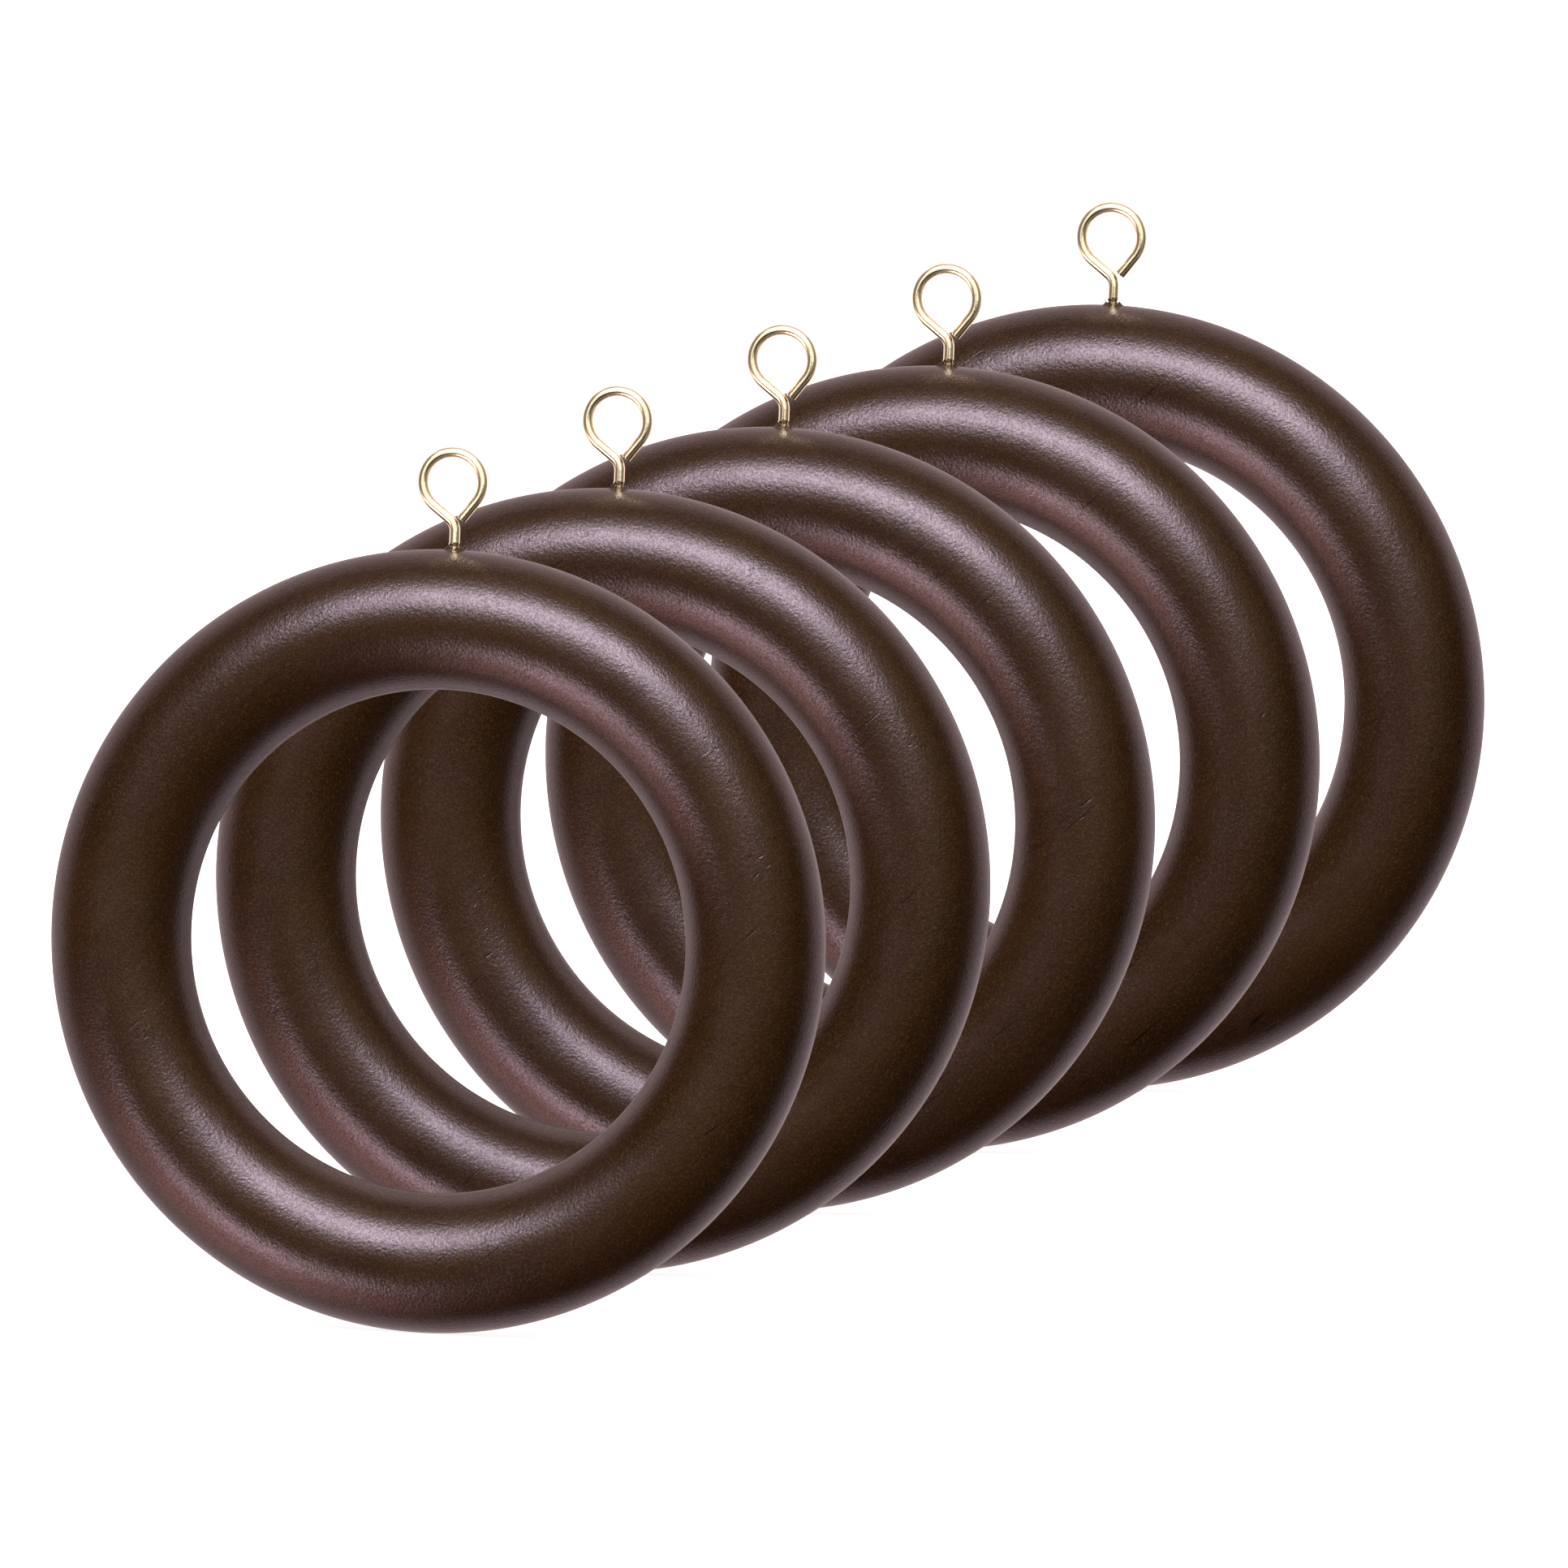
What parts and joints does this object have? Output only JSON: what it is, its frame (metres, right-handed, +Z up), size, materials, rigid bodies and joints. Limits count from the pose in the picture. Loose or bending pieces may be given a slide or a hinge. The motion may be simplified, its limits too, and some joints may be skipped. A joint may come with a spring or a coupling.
{
  "type": "curtain pole ring set",
  "caption": "Round wooden curtain pole rings in a row on one axis, each with a small brass-plated screw eye in its rim for a curtain hook.",
  "frame": {"origin": "bottom centre of the row: under the middle ring, level with the lowest points of the rings", "axes": "+Y along the pole, from the first ring to the last; +Z up, from the ring's centre to its screw eye; +X to the right in the rings' plane"},
  "size_m": [0.07, 0.3326, 0.0792],
  "materials": {
    "lacquered_wood": "dark walnut stain under a satin lacquer",
    "brass_plate": "bright brass plate on steel wire"
  },
  "bodies": {
    "ring_1": {"wooden_ring_1": "lacquered_wood"},
    "ring_2": {"wooden_ring_2": "lacquered_wood"},
    "ring_3": {"wooden_ring_3": "lacquered_wood"},
    "ring_4": {"wooden_ring_4": "lacquered_wood"},
    "ring_5": {"wooden_ring_5": "lacquered_wood"},
    "eye_1": {"screw_eye_1": "brass_plate"},
    "eye_2": {"screw_eye_2": "brass_plate"},
    "eye_3": {"screw_eye_3": "brass_plate"},
    "eye_4": {"screw_eye_4": "brass_plate"},
    "eye_5": {"screw_eye_5": "brass_plate"}
  },
  "joints": [
    {"name": "ring_2_slide", "type": "slide", "parent": "ring_1", "child": "ring_2", "axis": [0, 1, 0], "range_m": [-0.067, 0.04]},
    {"name": "ring_3_slide", "type": "slide", "parent": "ring_2", "child": "ring_3", "axis": [0, 1, 0], "range_m": [-0.067, 0.04]},
    {"name": "ring_4_slide", "type": "slide", "parent": "ring_3", "child": "ring_4", "axis": [0, 1, 0], "range_m": [-0.067, 0.04]},
    {"name": "ring_5_slide", "type": "slide", "parent": "ring_4", "child": "ring_5", "axis": [0, 1, 0], "range_m": [-0.067, 0.04]},
    {"name": "eye_1_turn", "type": "hinge", "parent": "ring_1", "child": "eye_1", "pos_m": [0, -0.16, 0.07], "axis": [0, 0, 1], "range_deg": [-90, 90]},
    {"name": "eye_2_turn", "type": "hinge", "parent": "ring_2", "child": "eye_2", "pos_m": [0, -0.08, 0.07], "axis": [0, 0, 1], "range_deg": [-90, 90]},
    {"name": "eye_3_turn", "type": "hinge", "parent": "ring_3", "child": "eye_3", "pos_m": [0, 0, 0.07], "axis": [0, 0, 1], "range_deg": [-90, 90]},
    {"name": "eye_4_turn", "type": "hinge", "parent": "ring_4", "child": "eye_4", "pos_m": [0, 0.08, 0.07], "axis": [0, 0, 1], "range_deg": [-90, 90]},
    {"name": "eye_5_turn", "type": "hinge", "parent": "ring_5", "child": "eye_5", "pos_m": [0, 0.16, 0.07], "axis": [0, 0, 1], "range_deg": [-90, 90]}
  ]
}
